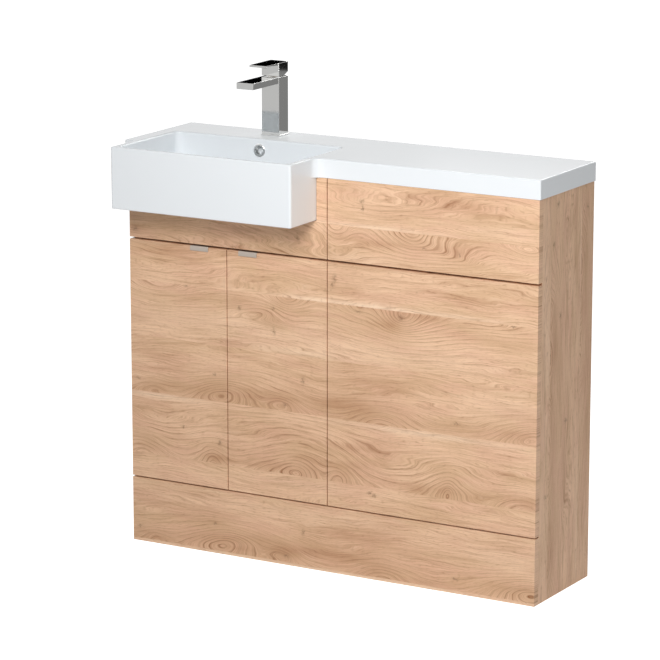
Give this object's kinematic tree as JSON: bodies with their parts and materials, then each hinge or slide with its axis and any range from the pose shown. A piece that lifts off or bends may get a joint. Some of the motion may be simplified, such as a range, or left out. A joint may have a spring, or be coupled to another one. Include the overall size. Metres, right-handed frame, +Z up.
{
  "type": "vanity unit",
  "caption": "Slim bathroom vanity: oak-effect cupboard with two doors beside a closed toilet unit, one-piece white top with a projecting bowl, and a square lever tap.",
  "frame": {"origin": "on the floor, in the middle of the whole unit's width and of its depth over the bowl", "axes": "+Z up, +Y back to the wall, X along the front with the bowl on the -X side"},
  "size_m": [1.005, 0.36, 1.0665],
  "materials": {
    "oak_front": "matt oak-effect board, grain across",
    "oak_side": "matt oak-effect board, grain upright",
    "white_marble": "gloss gel-coated cast marble",
    "chrome": "polished",
    "satin_nickel": "satin nickel look",
    "steel": "zinc plated",
    "grey_nylon": "moulded",
    "white_plastic": "soft",
    "black_rubber": "matt",
    "brass": "machined",
    "cartridge_plastic": "moulded",
    "beech": "plain"
  },
  "bodies": {
    "cabinet": {"basin_left_side": "oak_side", "basin_right_side": "oak_side", "basin_floor": "oak_side", "basin_gap_rail": "oak_side", "basin_top_rail": "oak_side", "basin_low_rail": "oak_side", "shelf": "oak_side", "shelf_pins": "steel", "basin_fascia": "oak_front", "fascia_spacers": "grey_nylon", "cabinet_fasteners": "steel", "hinge_arms": "steel", "hinge_plates": "steel", "wc_left_side": "oak_side", "wc_right_side": "oak_side", "wc_front_rail": "oak_side", "wc_gap_rail": "oak_side", "wc_low_rail": "oak_side", "wc_back_rail": "oak_side", "wc_fascia": "oak_front", "wc_panel": "oak_front", "panel_studs": "grey_nylon", "plinth": "oak_front", "angle_brackets": "steel", "joining_bolts": "steel", "cam_locks": "steel", "cam_bolts": "steel", "dowels": "beech", "basin_top": "white_marble", "overflow_ring": "chrome", "waste_body": "chrome", "waste_nut": "chrome", "rubber_washers": "black_rubber", "tap_foot": "chrome", "tap_body": "chrome", "tap_spout": "chrome", "tap_aerator": "steel", "tap_cartridge": "cartridge_plastic", "tap_cartridge_nut": "brass", "tap_stud": "steel", "tap_shoe": "steel", "tap_nut": "brass"},
    "left_hinge_links": {"left_hinge_links": "steel"},
    "right_hinge_links": {"right_hinge_links": "steel"},
    "left_door": {"left_door": "oak_front", "left_handle": "satin_nickel", "left_door_fasteners": "steel", "left_door_buffers": "white_plastic", "left_hinge_cups": "steel"},
    "right_door": {"right_door": "oak_front", "right_handle": "satin_nickel", "right_door_fasteners": "steel", "right_door_buffers": "white_plastic", "right_hinge_cups": "steel"},
    "tap_rotor": {"tap_rotor": "cartridge_plastic"},
    "tap_lever": {"tap_lever": "chrome", "tap_stem": "brass", "tap_lever_screw": "steel"},
    "waste_plug": {"waste_plug": "chrome", "plug_seal": "black_rubber"}
  },
  "joints": [
    {"name": "left_hinge_link", "type": "hinge", "parent": "cabinet", "child": "left_hinge_links", "pos_m": [-0.461, -0.052, 0.41685], "axis": [0, 0, -1], "range_deg": [-19, 0]},
    {"name": "left_door_swing", "type": "hinge", "parent": "left_hinge_links", "child": "left_door", "pos_m": [-0.49, -0.066, 0.41685], "axis": [0, 0, -1], "range_deg": [0, 114]},
    {"name": "right_hinge_link", "type": "hinge", "parent": "cabinet", "child": "right_hinge_links", "pos_m": [-0.039, -0.052, 0.41685], "axis": [0, 0, 1], "range_deg": [-19, 0]},
    {"name": "right_door_swing", "type": "hinge", "parent": "right_hinge_links", "child": "right_door", "pos_m": [-0.01, -0.066, 0.41685], "axis": [0, 0, 1], "range_deg": [0, 114]},
    {"name": "tap_turn", "type": "hinge", "parent": "cabinet", "child": "tap_rotor", "pos_m": [-0.2525, 0.132, 1.025], "axis": [0, 0, 1], "range_deg": [-45, 45]},
    {"name": "tap_lift", "type": "hinge", "parent": "tap_rotor", "child": "tap_lever", "pos_m": [-0.2525, 0.132, 1.0305], "axis": [-1, 0, 0], "range_deg": [0, 20]},
    {"name": "plug_press", "type": "slide", "parent": "cabinet", "child": "waste_plug", "axis": [0, 0, -1], "range_m": [0, 0.008], "stiffness_N_per_m": 200, "springref_m": -0.01}
  ],
  "couplings": [
    {"joint": "left_hinge_link", "follows": "left_door_swing", "ratio": -0.16667},
    {"joint": "right_hinge_link", "follows": "right_door_swing", "ratio": -0.16667}
  ]
}
